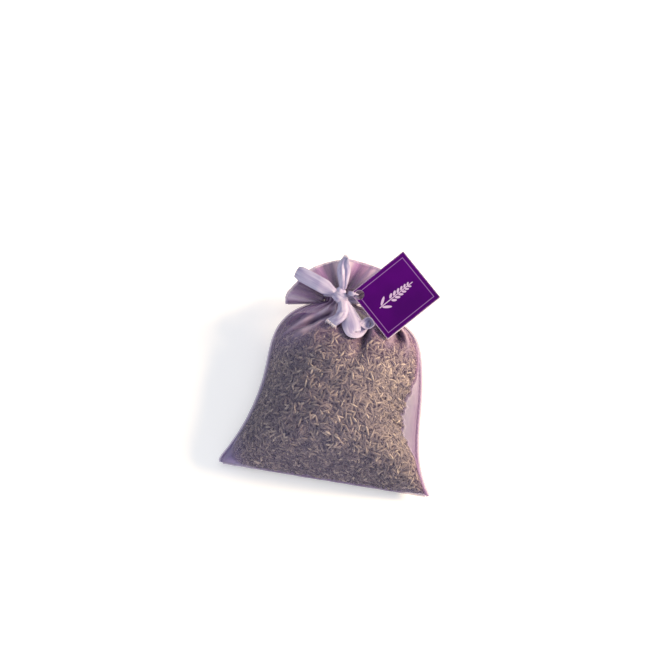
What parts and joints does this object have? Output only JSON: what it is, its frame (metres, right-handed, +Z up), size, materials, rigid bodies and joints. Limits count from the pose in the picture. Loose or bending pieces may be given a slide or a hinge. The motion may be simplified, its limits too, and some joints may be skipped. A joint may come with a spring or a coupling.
{
  "type": "lavender sachet",
  "caption": "Sheer organza bag of dried lavender, lying on its back, gathered at the neck and tied with a satin ribbon bow that carries a folded card tag.",
  "frame": {"origin": "under the middle of the bounding box, on the surface that the sachet lies on", "axes": "+Z up, out of the front panel; +Y along the bag, from the bottom seam to the neck; +X to the right when the front panel is seen from above with the neck away from the viewer"},
  "size_m": [0.101, 0.109, 0.0492],
  "materials": {
    "organza": "sheer woven",
    "organza_seam": "sewn, several layers",
    "lavender": "dried buds",
    "satin": "satin",
    "card": "semi-matt printed card"
  },
  "bodies": {
    "sachet": {"front_panel": "organza", "back_panel": "organza", "front_frill": "organza", "back_frill": "organza", "left_side_seam": "organza_seam", "right_side_seam": "organza_seam", "bottom_seam": "organza_seam", "front_hem": "organza_seam", "back_hem": "organza_seam", "lavender_fill": "lavender", "ribbon_wrap": "satin", "ribbon_knot": "satin", "left_loop": "satin", "right_loop": "satin", "upper_tail": "satin", "lower_tail": "satin"},
    "tag_tie": {"tag_tie": "satin"},
    "tag_back": {"tag_back_leaf": "card"},
    "tag_front": {"tag_front_leaf": "card"}
  },
  "joints": [
    {"name": "tag_lift", "type": "hinge", "parent": "sachet", "child": "tag_tie", "pos_m": [-0.00155, 0.02608, 0.03844], "axis": [0, -0.9063, -0.4226], "range_deg": [0, 35]},
    {"name": "tag_swing", "type": "hinge", "parent": "tag_tie", "child": "tag_back", "pos_m": [0.00349, 0.02608, 0.03844], "axis": [0, -0.3027, 0.9531], "range_deg": [-1, 35]},
    {"name": "tag_open", "type": "hinge", "parent": "tag_back", "child": "tag_front", "pos_m": [0.00166, 0.02414, 0.03798], "axis": [0.7373, -0.6439, -0.2045], "range_deg": [-2.5, 45]}
  ]
}
